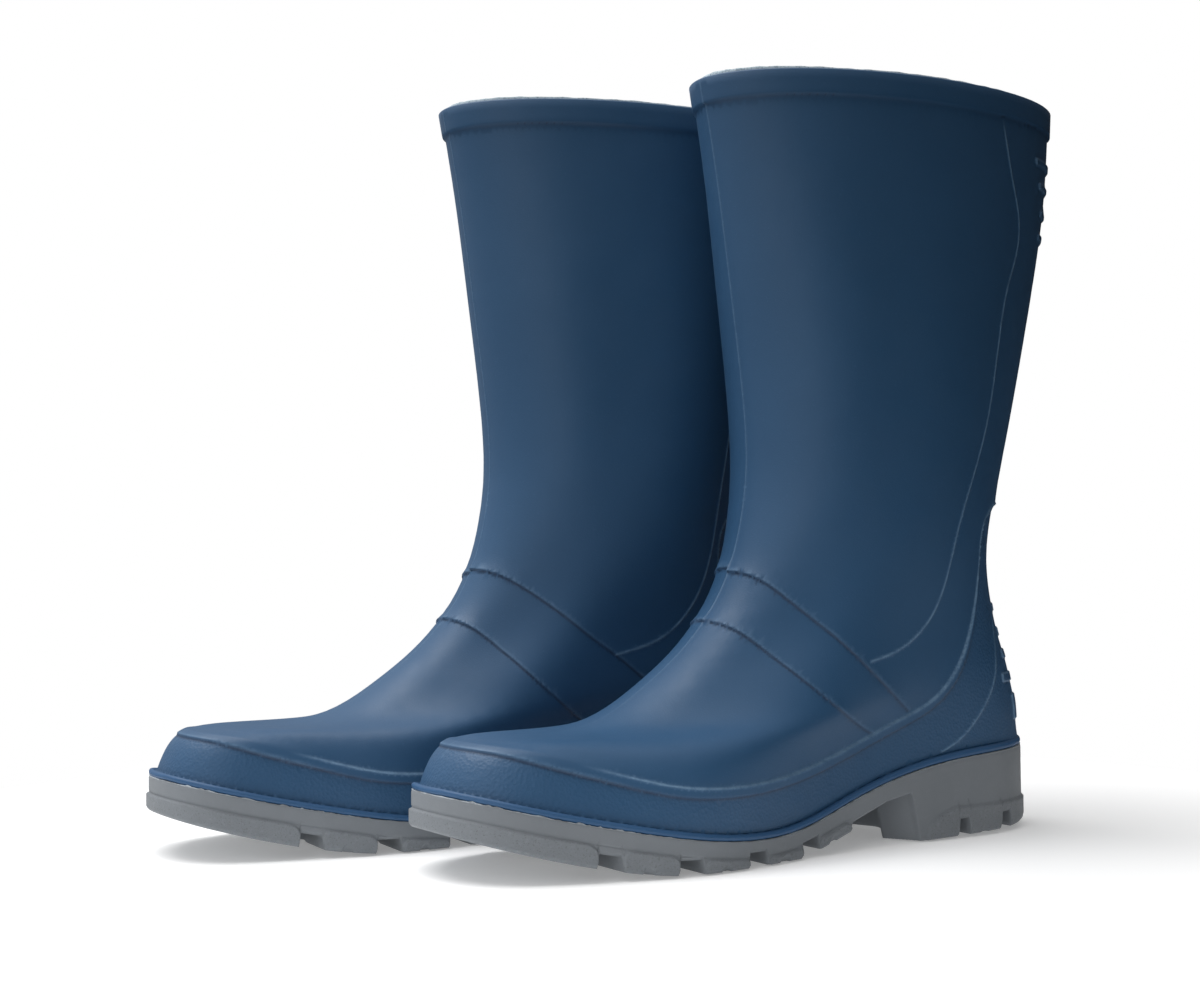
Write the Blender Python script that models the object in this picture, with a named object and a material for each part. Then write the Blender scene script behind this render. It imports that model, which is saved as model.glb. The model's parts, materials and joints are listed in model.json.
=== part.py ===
"""A pair of deck boots: two-shot moulded PVC, each boot an upper shell on a lugged outsole.

Inside each boot are a knitted sock lining, a lasting board and a loose insole of foam and cover.
One boot is drawn in its own frame: u runs forward from the back of the heel, v outwards from the
centreline, h up from the ground. The right boot is the left one mirrored, turned a little and set
further forward. World axes: x = v, y = -u, z = h, with the toes towards -y.
"""

import math

import bpy
import numpy as np

MM = 0.001

# Placing of the pair, in millimetres and degrees.
CENTRELINE_SPACING = 98.0
RIGHT_BOOT_AHEAD = 70.0
RIGHT_BOOT_TURN = 3.8
TURN_CENTRE_U = 145.0

# Side profile of the upper, one (u, h) for each contour level, from the feather edge to the collar.
FRONT_PROFILE = [
    (288.5, 31), (285, 40), (276, 48.5), (252, 50.5), (221.5, 54), (195, 67), (172, 85),
    (152.5, 110.5), (142.5, 140), (141, 175), (147.5, 230), (154, 277), (161, 317),
]
BACK_PROFILE = [
    (1.5, 35.5), (3, 44), (3.5, 53), (5.5, 62), (8.5, 73), (12.5, 85), (16, 99),
    (19, 116), (16.5, 137), (6, 172), (-9, 226), (-20, 275), (-24.5, 318),
]
LEVELS = list(range(len(FRONT_PROFILE)))
COLLAR_LEVEL = LEVELS[-1]
# Share of the feather edge's dip that each level keeps.
DIP_SHARE = [1, 0.74, 0.5, 0.28, 0.12, 0.03, 0, 0, 0, 0, 0, 0, 0]
# Feather edge, where upper and outsole meet: height against u.
FEATHER_U = [1.5, 30, 60, 90, 120, 147, 175, 205, 235, 262, 280, 288.5]
FEATHER_H = [35.5, 34.5, 32.5, 27.5, 19, 11.5, 10, 13, 18.5, 24.5, 29, 31]

# Half breadth of the ellipse that fits the outer side at each station from back (0) to front (1).
STATIONS = [0, 0.1, 0.3, 0.5, 0.7, 0.9, 1]
GIRTH_LEVELS = [0, 2, 4, 6, 8, 12]
GIRTH = [
    (69, 55, 39.5, 43, 57, 63, 78),
    (66, 55, 40.5, 43, 55, 56, 70),
    (57, 52, 42, 42.5, 45, 42.5, 50),
    (46, 46, 42, 40.5, 40, 36, 41),
    (45, 45, 45, 45, 45, 46, 45),
    (46.5, 46.5, 46.5, 46.5, 46.5, 46.5, 46.5),
]
# The inner side's breadth as a share of the outer side's.
INNER_SIDE_SHARE = [
    (1, 0.97, 0.87, 0.81, 0.83, 0.9, 1),
    (1, 0.97, 0.88, 0.83, 0.85, 0.92, 1),
    (1, 0.97, 0.92, 0.9, 0.93, 0.97, 1),
    (1, 1, 0.97, 0.96, 0.98, 0.94, 0.94),
    (1, 1, 1, 1, 1, 1, 1),
    (1, 1, 1, 1, 1, 1, 1),
]

# Upper shell.
WALL = 2.5
FLANGE_WIDTH = 14.0
FLANGE_CORNER_LEVEL = 0.25
WELT_PROUD = 2.0
WELT_TOP_PROUD = 1.6
WELT_TOP_LEVEL = 0.38
COLLAR_BAND_PROUD = 1.2
COLLAR_BAND_LEVEL = 11.75
COLLAR_STEP_LEVELS = 0.02
OUTER_LEVELS = [0.4, 1, 1.6, 2.2, 3, 3.8, 4.6, 5.4, 6.2, 7, 7.8, 8.6, 9.5, 10.5, 11.3]
INNER_LEVELS = [11.3, 10.5, 9.5, 8.6, 7.8, 7, 6.2, 5.4, 4.6, 3.8, 3, 2.2, 1.6, 1, 0.6]

# Layers inside the shell: gaps and thicknesses.
SHELL_TO_LINING = 0.35
LINING_THICKNESS = 1.0
LINING_TOP_LEVEL = 11.95
LAYER_GAP = 0.5
BOARD_THICKNESS = 1.2
FOAM_THICKNESS = 4.5
COVER_THICKNESS = 1.0
BOARD_LEVEL = 0.5
BOARD_INSET = 4.6
FOOTBED_LEVEL = 1.1
FOOTBED_INSET = 4.9
HEEL_CLEARANCE = 3.2
HEEL_CLEARANCE_END_U = 60.0
INSOLE_HINGE_U = 277.0
INSOLE_HINGE_RISE = 4.7
COLUMNS = 32

# Outsole.
SOLE_GAP = 0.5
PLATEAU_INSET = FLANGE_WIDTH + 1.0
PLATEAU_BELOW_FLANGE = 0.2
SOLE_OVERHANG = 2.4
LUG_PROUD = 0.9
BAND_HEIGHT = 6.0
EDGE_CHAMFER = 1.2
TOE_SPRING_START_U = 205.0
TOE_SPRING_LENGTH = 86.0
TOE_SPRING_RISE = 18.4
TOE_SPRING_POWER = 1.6
ARCH_START_U = 150.0
ARCH_LENGTH = 66.0
ARCH_RISE = 20.5
ARCH_POWER = 1.25
HEEL_BREAST_TOP_U = 84.0
HEEL_BREAST_FOOT_U = 79.0
HEEL_BEVEL_U = 30.0
HEEL_BEVEL_RISE = 2.5
HEEL_LUG_HEIGHT = 13.0
FORE_GROOVE_DEPTH = 5.5
HEEL_GROOVE_DEPTH = 7.0
LAST_LUG_BACK_U = 120.5
GROOVES = [(241, 232), (210.5, 200.5), (179, 169), (149, 138.5), (60.5, 54.5), (35, 28)]
CENTRE_GROOVES = [(226, 220), (194, 187), (164, 158), (134, 128), (48, 43)]
GROOVE_WALL = 1.0
EDGE_LUG_SHARE = 0.52
CENTRE_LUG_SHARE = 0.42
CENTRE_LUG_RECESS = 0.8
LUG_STEP_DROP = 0.7
LUG_STEP_LOWEST = (0.3, 0.6)
# Columns of the outsole between the groove walls.
SOLE_FILL_U = [
    288.5, 287.3, 283, 274, 259, 109, 97, 90, HEEL_BREAST_TOP_U, HEEL_BREAST_FOOT_U, 71, 18, 9, 3.5, 1.5,
]
SMALL_STEP = 0.01


def spline(xs, ys, x):
    """Natural cubic spline through (xs, ys); ys may hold several values for each x."""
    xs, ys = np.asarray(xs, float), np.asarray(ys, float)
    steps, count = np.diff(xs), len(xs)
    matrix, right = np.eye(count), np.zeros_like(ys)
    for i in range(1, count - 1):
        matrix[i, i - 1 : i + 2] = steps[i - 1], 2 * (steps[i - 1] + steps[i]), steps[i]
        right[i] = 6 * ((ys[i + 1] - ys[i]) / steps[i] - (ys[i] - ys[i - 1]) / steps[i - 1])
    bend = np.linalg.solve(matrix, right)
    x = np.clip(np.asarray(x, float), xs[0], xs[-1])
    i = np.clip(np.searchsorted(xs, x) - 1, 0, count - 2)
    column = (-1,) + (1,) * (ys.ndim - 1)
    after, before = (x - xs[i]).reshape(column), (xs[i + 1] - x).reshape(column)
    step = steps[i].reshape(column)
    cubic = (before**3 * bend[i] + after**3 * bend[i + 1]) / (6 * step)
    low = (ys[i] / step - bend[i] * step / 6) * before
    high = (ys[i + 1] / step - bend[i + 1] * step / 6) * after
    return cubic + low + high


def feather_height(u):
    return spline(FEATHER_U, FEATHER_H, u)


def by_station(rows, levels, share):
    """A table of breadths, read at each level and each share of the way from back to front."""
    columns = [spline(GIRTH_LEVELS, [row[k] for row in rows], levels) for k in range(len(STATIONS))]
    return spline(STATIONS, np.array(columns), share).T


def surface(levels, angles):
    """Outer surface of the upper as [level, angle, (u, v, h)], with angle 0 in front."""
    levels, angles = np.asarray(levels, float), np.asarray(angles, float)
    share = (1 + np.cos(angles)) / 2
    front, back = spline(LEVELS, FRONT_PROFILE, levels), spline(LEVELS, BACK_PROFILE, levels)
    line = back[:, None, :] + (front - back)[:, None, :] * share[None, :, None]
    sole_u = BACK_PROFILE[0][0] + (FRONT_PROFILE[0][0] - BACK_PROFILE[0][0]) * share
    straight = BACK_PROFILE[0][1] + (FRONT_PROFILE[0][1] - BACK_PROFILE[0][1]) * share
    dip = feather_height(sole_u) - straight
    keep = np.clip(spline(LEVELS, DIP_SHARE, levels), 0, 1)
    breadth = by_station(GIRTH, levels, share)
    inner = np.where(np.sin(angles) >= 0, 1, by_station(INNER_SIDE_SHARE, levels, share))
    v = breadth * inner * np.sin(angles)
    return np.stack([line[..., 0], v, line[..., 1] + keep[:, None] * dip], -1)


def skin(levels, angles, outward):
    """The outer surface moved along its normal."""
    small = SMALL_STEP
    levels, angles = np.asarray(levels, float), np.asarray(angles, float)
    up = surface(levels + small, angles) - surface(levels - small, angles)
    up[levels < small] = (surface([small], angles) - surface([0], angles))[0]
    up[levels > COLLAR_LEVEL - small] = (
        surface([COLLAR_LEVEL], angles) - surface([COLLAR_LEVEL - small], angles)
    )[0]
    round_way = surface(levels, angles + small) - surface(levels, angles - small)
    normal = np.cross(round_way, up)
    normal /= np.linalg.norm(normal, axis=-1, keepdims=True)
    return surface(levels, angles) + normal * outward


def outline(level, angles, outward, height):
    """A contour moved outwards in plan by one distance or one for each angle, at heights from its u."""
    small = SMALL_STEP
    points = surface([level], angles)[0]
    along = surface([level], angles + small)[0] - surface([level], angles - small)[0]
    normal = np.stack([along[:, 1], -along[:, 0]], -1)
    normal /= np.linalg.norm(normal, axis=-1, keepdims=True)
    points[:, :2] += normal * np.broadcast_to(outward, (len(angles),))[:, None]
    points[:, 2] = height(points[:, 0])
    return points


def even_angles(count):
    return np.arange(count) * 2 * math.pi / count


def wrap_faces(rings, count, joined):
    """Quads between neighbouring rings, and from the last ring to the first when joined."""
    faces = []
    for ring in range(rings if joined else rings - 1):
        low, high = ring * count, (ring + 1) % rings * count
        for k in range(count):
            after = (k + 1) % count
            faces.append((low + k, low + after, high + after, high + k))
    return faces


def strip_cap(start, count, flipped):
    """Closes a ring whose points lie in pairs across the centreline, from front to back."""
    half = count // 2
    faces = [(start, start + 1, start + count - 1)]
    for k in range(1, half - 1):
        faces.append((start + k, start + k + 1, start + count - k - 1, start + count - k))
    faces.append((start + half - 1, start + half, start + half + 1))
    return [face[::-1] for face in faces] if flipped else faces


def sleeve(outside, inside):
    """A closed wall between an outer and an inner set of rings, both given from foot to top.

    Both sides are split along the same diagonals, so that nested walls have parallel facets.
    """
    rings = np.concatenate([outside, inside[::-1]])
    count = rings.shape[1]
    faces = []
    for number, (a, b, c, d) in enumerate(wrap_faces(len(rings), count, joined=True)):
        rising = number < len(outside) * count
        faces += [(a, b, c), (a, c, d)] if rising else [(a, b, d), (b, c, d)]
    return rings.reshape(-1, 3), faces


def stack(rings):
    """A closed body of rings from bottom to top, with a strip cap at each end."""
    rings = np.array(rings)
    count = rings.shape[1]
    faces = wrap_faces(len(rings), count, joined=False)
    faces += strip_cap(0, count, flipped=True) + strip_cap((len(rings) - 1) * count, count, flipped=False)
    return rings.reshape(-1, 3), faces


def upper_shell():
    """One moulding: lasting flange, welt bead, foot, shaft and collar band."""
    angles = even_angles(COLUMNS)

    def on_flange(rise):
        return lambda u: feather_height(u) + rise

    welt = outline(0, angles, WELT_PROUD, on_flange(0))
    welt_top = skin([WELT_TOP_LEVEL], angles, WELT_TOP_PROUD)
    body = skin(OUTER_LEVELS + [COLLAR_BAND_LEVEL - COLLAR_STEP_LEVELS], angles, 0)
    band = skin([COLLAR_BAND_LEVEL, COLLAR_LEVEL], angles, COLLAR_BAND_PROUD)
    outside = np.concatenate([welt[None], welt_top, body, band])
    inner = skin([COLLAR_LEVEL] + INNER_LEVELS, angles, -WALL)
    flange = [
        outline(FLANGE_CORNER_LEVEL, angles, -WALL, on_flange(WALL)),
        outline(0, angles, -FLANGE_WIDTH, on_flange(WALL)),
        outline(0, angles, -FLANGE_WIDTH, on_flange(0)),
    ]
    return sleeve(outside, np.concatenate([inner, flange])[::-1])


def sock_lining():
    """The knitted sock bonded to the inside of the shell."""
    angles = even_angles(COLUMNS)
    levels = [LINING_TOP_LEVEL] + INNER_LEVELS
    outside = skin(levels, angles, -WALL - SHELL_TO_LINING)
    inside = skin(levels, angles, -WALL - SHELL_TO_LINING - LINING_THICKNESS)
    return sleeve(outside[::-1], inside[::-1])


def footbed_layer(level, inset, bottom, thickness, heel_clearance):
    """A flat layer over the sole, following the feather edge from bottom to bottom + thickness."""
    angles = even_angles(COLUMNS)
    u = surface([level], angles)[0, :, 0]
    back = np.clip(1 - u / HEEL_CLEARANCE_END_U, 0, 1)
    inward = -inset - heel_clearance * back

    def ring(rise):
        return outline(level, angles, inward, lambda moved: feather_height(moved) + rise)

    return stack([ring(bottom), ring(bottom + thickness)])


def layers():
    """Bottom of each layer above the feather edge, from the lasting board up to the insole cover."""
    board = WALL + LAYER_GAP
    foam = board + BOARD_THICKNESS + LAYER_GAP
    cover = foam + FOAM_THICKNESS + LAYER_GAP
    return board, foam, cover


def lasting_board():
    return footbed_layer(BOARD_LEVEL, BOARD_INSET, layers()[0], BOARD_THICKNESS, 0)


def insole_foam():
    return footbed_layer(FOOTBED_LEVEL, FOOTBED_INSET, layers()[1], FOAM_THICKNESS, HEEL_CLEARANCE)


def insole_cover():
    return footbed_layer(FOOTBED_LEVEL, FOOTBED_INSET, layers()[2], COVER_THICKNESS, HEEL_CLEARANCE)


def ground_height(u):
    """Height of the lugs' faces: toe spring, flat tread, arch, heel and its bevelled back."""
    u = np.asarray(u, float)
    toe = np.clip((u - TOE_SPRING_START_U) / TOE_SPRING_LENGTH, 0, 2) ** TOE_SPRING_POWER
    arch = np.clip((ARCH_START_U - u) / ARCH_LENGTH, 0, 1) ** ARCH_POWER
    breast = np.clip((u - HEEL_BREAST_FOOT_U) / (HEEL_BREAST_TOP_U - HEEL_BREAST_FOOT_U), 0, 1)
    bevel = np.clip((HEEL_BEVEL_U - u) / HEEL_BEVEL_U, 0, 2) ** 2
    return TOE_SPRING_RISE * toe + ARCH_RISE * arch * breast + HEEL_BEVEL_RISE * bevel


def in_grooves(u, grooves):
    """1 inside a groove, 0 on a lug, with a short slope between them."""
    found = np.zeros_like(u)
    for front, back in grooves:
        inside = np.minimum(front - u, u - back) / GROOVE_WALL + 0.5
        found = np.maximum(found, np.clip(inside, 0, 1))
    return found


def groove_height(u, grooves):
    depth = np.where(u < HEEL_BREAST_FOOT_U, HEEL_GROOVE_DEPTH, FORE_GROOVE_DEPTH)
    return ground_height(u) + depth * in_grooves(u, grooves)


def lug_line(u):
    """Height at which the lugs step out from the smooth sidewall."""
    fore = feather_height(u) - SOLE_GAP - BAND_HEIGHT
    return np.where(u <= HEEL_BREAST_FOOT_U, HEEL_LUG_HEIGHT, fore)


def sole_angles():
    """Angles of the outsole's columns: two for each groove wall and a few between."""
    edges = [LAST_LUG_BACK_U] + [edge for groove in GROOVES + CENTRE_GROOVES for edge in groove]
    stations = set(SOLE_FILL_U) | {edge + side * GROOVE_WALL / 2 for edge in edges for side in (-1, 1)}
    length = FRONT_PROFILE[0][0] - BACK_PROFILE[0][0]
    shares = (np.array(sorted(stations, reverse=True)) - BACK_PROFILE[0][0]) / length
    half = np.arccos(np.clip(2 * shares - 1, -1, 1))
    return np.concatenate([half, -half[-2:0:-1]])


def outsole():
    """One moulding: plateau inside the flange, smooth sidewall, lug rows, arch and heel."""
    angles = sole_angles()
    u = surface([0], angles)[0, :, 0]
    on_arch = (u > HEEL_BREAST_FOOT_U) & (u < LAST_LUG_BACK_U)
    proud = LUG_PROUD * (1 - in_grooves(u, GROOVES)) * ~on_arch

    def at(outward, heights):
        return outline(0, angles, outward, lambda _: heights)

    def under_flange(outward, rise):
        return outline(0, angles, outward, lambda moved: feather_height(moved) + rise)

    ground, tread = ground_height(u), groove_height(u, GROOVES)
    step, corner = lug_line(u), tread + EDGE_CHAMFER
    edge = at(SOLE_OVERHANG + proud - EDGE_CHAMFER, tread)
    middle, centre = edge.copy(), edge.copy()
    middle[:, 1] *= EDGE_LUG_SHARE
    centre[:, 1] *= CENTRE_LUG_SHARE
    centre[:, 2] = np.maximum(groove_height(u, CENTRE_GROOVES), ground + CENTRE_LUG_RECESS)
    rings = [
        centre,
        middle,
        edge,
        at(SOLE_OVERHANG + proud, corner),
        at(SOLE_OVERHANG + proud, np.maximum(step - LUG_STEP_DROP, corner + LUG_STEP_LOWEST[0])),
        at(SOLE_OVERHANG, np.maximum(step, corner + LUG_STEP_LOWEST[1])),
        under_flange(SOLE_OVERHANG, -SOLE_GAP),
        under_flange(-PLATEAU_INSET, -SOLE_GAP),
        under_flange(-PLATEAU_INSET, WALL - PLATEAU_BELOW_FLANGE),
    ]
    return stack(rings)


def boot_to_world(points, side):
    """Places one boot of the pair. Side is 1 for the left boot and -1 for the right one."""
    u, v, h = points[:, 0], points[:, 1], points[:, 2]
    if side < 0:
        turn = math.radians(RIGHT_BOOT_TURN)
        ahead, across = u - TURN_CENTRE_U, -v
        u = TURN_CENTRE_U + ahead * math.cos(turn) + across * math.sin(turn) + RIGHT_BOOT_AHEAD
        v = across * math.cos(turn) - ahead * math.sin(turn)
    x = v + side * CENTRELINE_SPACING / 2
    return np.stack([x, -u, h], -1) * MM


PIECES = {
    "upper_shell": (upper_shell, (0.022, 0.062, 0.135), 0.42),
    "outsole": (outsole, (0.155, 0.165, 0.175), 0.62),
    "sock_lining": (sock_lining, (0.25, 0.36, 0.43), 0.95),
    "lasting_board": (lasting_board, (0.55, 0.53, 0.48), 0.95),
    "insole_foam": (insole_foam, (0.08, 0.09, 0.10), 0.90),
    "insole_cover": (insole_cover, (0.20, 0.28, 0.34), 0.95),
}
FOOTBED = ("insole_foam", "insole_cover")
SHARP_ANGLE = 35


def clear_scene():
    for old in list(bpy.data.objects):
        bpy.data.objects.remove(old)


def material(name, colour, roughness):
    made = bpy.data.materials.new(name)
    made.use_nodes = True
    shader = made.node_tree.nodes["Principled BSDF"]
    shader.inputs["Base Color"].default_value = (*colour, 1)
    shader.inputs["Roughness"].default_value = roughness
    shader.inputs["Metallic"].default_value = 0
    return made


def pivot(name, place):
    """An empty that a moving piece hangs from, on the axis that the piece moves about."""
    empty = bpy.data.objects.new(name, None)
    empty.location = place
    bpy.context.scene.collection.objects.link(empty)
    return empty


def add_piece(name, points, faces, parent, look):
    """A mesh object from points in world space, drawn relative to its parent."""
    mesh = bpy.data.meshes.new(name)
    mesh.from_pydata([tuple(point) for point in points - np.array(parent.location)], [], faces)
    mesh.materials.append(material(name, *look))
    mesh.shade_smooth()
    mesh.set_sharp_from_angle(angle=math.radians(SHARP_ANGLE))
    made = bpy.data.objects.new(name, mesh)
    made.parent = parent
    bpy.context.scene.collection.objects.link(made)


def hinge_place(side, centre):
    """Where the toe end of a boot's insole stays put while its heel end is lifted."""
    height = feather_height([INSOLE_HINGE_U])[0] + INSOLE_HINGE_RISE
    point = np.array([[INSOLE_HINGE_U, 0, height]])
    return boot_to_world(point, side)[0] - centre


def build_pair():
    shapes = {}
    for side, boot in ((1, "left"), (-1, "right")):
        for piece, (make, _, _) in PIECES.items():
            points, faces = make()
            turned = faces if side > 0 else [face[::-1] for face in faces]
            shapes[boot, piece] = (boot_to_world(points, side), turned)
    everything = np.concatenate([points for points, _ in shapes.values()])
    centre = (everything.min(0) + everything.max(0)) / 2
    centre[2] = everything[:, 2].min()
    for side, boot in ((1, "left"), (-1, "right")):
        ankle = boot_to_world(np.array([[TURN_CENTRE_U, 0, 0]]), side)[0] - centre
        stand = pivot(boot + "_stand", ankle)
        hinge = pivot(boot + "_insole_hinge", hinge_place(side, centre))
        for piece, (_, colour, roughness) in PIECES.items():
            points, faces = shapes[boot, piece]
            parent = hinge if piece in FOOTBED else stand
            add_piece(f"{boot}_{piece}", points - centre, faces, parent, (colour, roughness))


clear_scene()
build_pair()
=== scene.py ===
"""Looks of a pair of moulded deck boots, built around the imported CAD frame.

One boot is drawn in its own frame, in millimetres: u runs forward from the back of the heel, v
outwards from the centreline, h up from the ground. The right boot is the left one mirrored. The
upper and the outsole are drawn again here at a fine scale, with the foxing band, strap edges,
ribs, parting lines and lug pads as geometry. The sock lining and the insole are drawn as cloth
and foam. The lasting boards stay as the CAD has them.
"""

import json
import math

import bpy
import numpy as np
from mathutils import Matrix, Vector


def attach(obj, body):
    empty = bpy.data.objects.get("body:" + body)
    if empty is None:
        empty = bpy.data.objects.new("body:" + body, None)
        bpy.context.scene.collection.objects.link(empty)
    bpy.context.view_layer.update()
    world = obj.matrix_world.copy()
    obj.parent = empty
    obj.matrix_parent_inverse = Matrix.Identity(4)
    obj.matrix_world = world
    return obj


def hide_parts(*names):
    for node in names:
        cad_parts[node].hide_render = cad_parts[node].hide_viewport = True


MM = 0.001
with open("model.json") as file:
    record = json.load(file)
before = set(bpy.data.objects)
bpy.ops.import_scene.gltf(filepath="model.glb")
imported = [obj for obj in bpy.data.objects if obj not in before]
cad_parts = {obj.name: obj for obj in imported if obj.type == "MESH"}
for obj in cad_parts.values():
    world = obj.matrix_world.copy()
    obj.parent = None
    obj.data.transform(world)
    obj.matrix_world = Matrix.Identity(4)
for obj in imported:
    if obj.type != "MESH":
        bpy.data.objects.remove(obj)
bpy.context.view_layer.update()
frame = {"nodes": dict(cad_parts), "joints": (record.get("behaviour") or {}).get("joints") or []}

# Camera.
CAMERA_PLACE = (0.6790, -0.4201, 0.1189)
CAMERA_AHEAD = (-0.8581, 0.5135)
CAMERA_PITCH = math.radians(1.78)
CAMERA_ROLL = math.radians(0.47)
CAMERA_LENS = 55.14
CAMERA_SENSOR = 36.0

# Studio, in metres and watts. The soft light grows from its first power to its second as the cosine
# of the angle between a direction and the one it comes from passes over its spread.
SOFT_LIGHT_FROM = (-0.28, -0.42, 0.88)
SOFT_LIGHT_SPREAD = (-0.15, 0.95)
SOFT_LIGHT_POWER = (0.02, 0.75)
TOP_LIGHT_PLACE, TOP_LIGHT_SIZE, TOP_LIGHT_POWER = (-0.35, -0.5, 1.6), (1.3, 1.3), 26.0
SIDE_LIGHT_PLACE, SIDE_LIGHT_SIZE, SIDE_LIGHT_POWER = (0.9, -1.3, 0.45), (0.9, 1.2), 2.6
LIGHT_TARGET = (0, -0.02, 0.16)
FLOOR_RADIUS = 0.37
FLOOR_DROP = 0.0006
FLOOR_GLOW = 0.22

# Placing of the pair.
CENTRELINE_SPACING = 98.0
RIGHT_BOOT_AHEAD = 70.0
RIGHT_BOOT_TURN = 3.8
TURN_CENTRE_U = 145.0
INSOLE_HINGE = (277.0, 4.7)

# Side profile of the upper, one (u, h) for each contour level, from the feather edge to the collar.
FRONT_PROFILE = [
    (288.5, 31), (285, 40), (276, 49), (253, 50.5), (221, 52), (194, 65.5), (171, 83.5),
    (152, 109), (142.5, 140), (141, 175), (147.5, 230), (154, 277), (161, 317),
]
BACK_PROFILE = [
    (1.5, 35.5), (3, 44), (3.5, 53), (5.5, 62), (8.5, 73), (12.5, 85), (16, 99),
    (19, 116), (16.5, 137), (6, 172), (-9, 226), (-20, 275), (-24.5, 318),
]
LEVELS = list(range(len(FRONT_PROFILE)))
COLLAR_LEVEL = LEVELS[-1]
# How much each level follows the feather edge's dip at the arch, and that edge as heights by u.
DIP_SHARE = [1, 0.74, 0.5, 0.28, 0.12, 0.03, 0, 0, 0, 0, 0, 0, 0]
FEATHER_U = [1.5, 30, 60, 90, 120, 147, 175, 205, 235, 262, 280, 288.5]
FEATHER_H = [35.5, 34.5, 32.5, 27.5, 19, 11.5, 10, 13, 18.5, 24.5, 29, 31]

# Half breadths, by contour level and by station from back (0) to front (1), and the inner side's share.
STATIONS = [0, 0.1, 0.3, 0.5, 0.7, 0.9, 1]
GIRTH_LEVELS = [0, 2, 4, 6, 8, 12]
GIRTH = [
    (69, 55, 39.5, 43, 57, 63, 78),
    (66, 55, 40.5, 43, 55, 56, 70),
    (57, 52, 42, 42.5, 45, 42.5, 50),
    (46, 46, 42, 40.5, 40, 36, 41),
    (45, 45, 45, 45, 45, 46, 45),
    (46.5, 46.5, 46.5, 46.5, 46.5, 46.5, 46.5),
]
INNER_SIDE_SHARE = [
    (1, 0.97, 0.87, 0.81, 0.83, 0.9, 1),
    (1, 0.97, 0.88, 0.83, 0.85, 0.92, 1),
    (1, 0.97, 0.92, 0.9, 0.93, 0.97, 1),
    (1, 1, 0.97, 0.96, 0.98, 0.94, 0.94),
    (1, 1, 1, 1, 1, 1, 1),
    (1, 1, 1, 1, 1, 1, 1),
]

# Upper shell.
WALL = 2.5
FLANGE_WIDTH = 14.0
FLANGE_CORNER_LEVEL = 0.25
COLLAR_BAND_PROUD = 1.2
COLLAR_BAND_LEVEL = 11.75
COLLAR_MM_PER_LEVEL = 40.0
RIM_ROUND = 0.6
BEAD_PROUD = 2.3
HEEL_TUCK, HEEL_TUCK_U = 1.8, (45.0, 8.0)
BEAD_HEIGHT_TOE, BEAD_HEIGHT_HEEL = 2.7, 3.3
BEAD_CREASE = 0.72
BEAD_ARC = (-90.0, 145.0)

# Curves drawn in side view, as (u, h), from the toe or the top.
FOXING_LINE = [
    (300, 47.5), (276, 47), (257.5, 42), (228, 33.5), (212, 29.5), (195, 27.5), (173.5, 27.5),
    (149, 30), (123.5, 36), (91.5, 47), (72, 55.5), (59.5, 67), (50.5, 83), (45, 102),
    (43.5, 117), (42.5, 129), (37.5, 136), (25, 140), (5, 141),
]
STRAP_TOP_OUTER = [
    (154, 114.5), (149, 111.5), (143, 105.5), (132.5, 94.5), (118.5, 80.5), (104.5, 68), (87, 54.5),
]
STRAP_FOOT_OUTER = [(168, 95.5), (162, 91.5), (146, 75), (131.5, 60.5), (121, 53.5), (103, 44.5)]
STRAP_TOP_INNER = [(154, 115), (147, 113), (141, 109.5), (127, 98.5), (111, 85), (97.5, 76), (78, 61.5)]
STRAP_FOOT_INNER = [(168, 94.5), (161, 91.5), (148.5, 80.5), (135, 65.5), (125.5, 57.5), (105, 43.5)]
SHAFT_LINE_OUTER = [
    (34.5, 308), (33, 301.5), (27, 279.5), (21.5, 260.5), (23, 250.5), (30.5, 233.5), (35.5, 215.5),
    (45.5, 171.5), (60.5, 134), (65.5, 115.5), (74, 94.5), (80.5, 87.5), (90.5, 81), (109, 75.5),
]
SHAFT_LINE_INNER = [
    (33.5, 306), (32, 297), (30, 255), (35, 213), (41, 171), (47, 135), (55, 104), (73, 84), (98, 76.5),
]
HEEL_LINE = [(67, 36), (56, 41.5), (43, 53.5), (34.5, 66), (31, 80), (29, 97)]

# Foxing band: (share of the way along, width or height).
BAND_WIDTH = [(0, 3.7), (0.6, 3.7), (0.7, 2.8), (0.8, 1.5), (1, 1.3)]
BAND_PROUD = [(0, 0.6), (0.2, 0.9), (0.4, 1.0), (0.7, 0.85), (0.8, 0.55), (1, 0.6)]
TOE_RAMP_U = (222, 246)
TOE_RAMP = 5.5
FOXING_SUNK = 0.15
BACK_LIP_PROUD, BACK_LIP_FADE, BACK_LIP_LOW_H = 0.9, 9.0, 98.0

# Strap edges, ridges and parting lines.
LIP_PROUD, LIP_PROUD_SIDE, LIP_FADE = 1.1, 0.6, 2.6
LIP_DROP = 0.35
GROOVE_UNDER_LIP = 0.12
RIDGE_PROUD, RIDGE_HALF = 0.36, 0.36
SHAFT_LINE_TOP_H, HEEL_LINE_TOP_H = 308, 97
PARTING_PROUD, PARTING_HALF = 0.22, 0.3

# Ribs round the back, as (h, half width), and the block under them.
BACK_RIBS = [(292.6, 34), (282.5, 31), (270.8, 28), (260.2, 28)]
HEEL_RIBS = [(95.6, 21), (84.9, 23), (75.2, 27), (65.2, 31)]
HEEL_BLOCK = (52, 27)
RIB_HALF, HEEL_RIB_HALF, HEEL_BLOCK_HALF = 1.45, 1.9, 5.4
RIB_PROUD, HEEL_RIB_PROUD = 0.95, 0.65
RIB_CORNER = 0.7
BACK_U = 60

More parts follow.
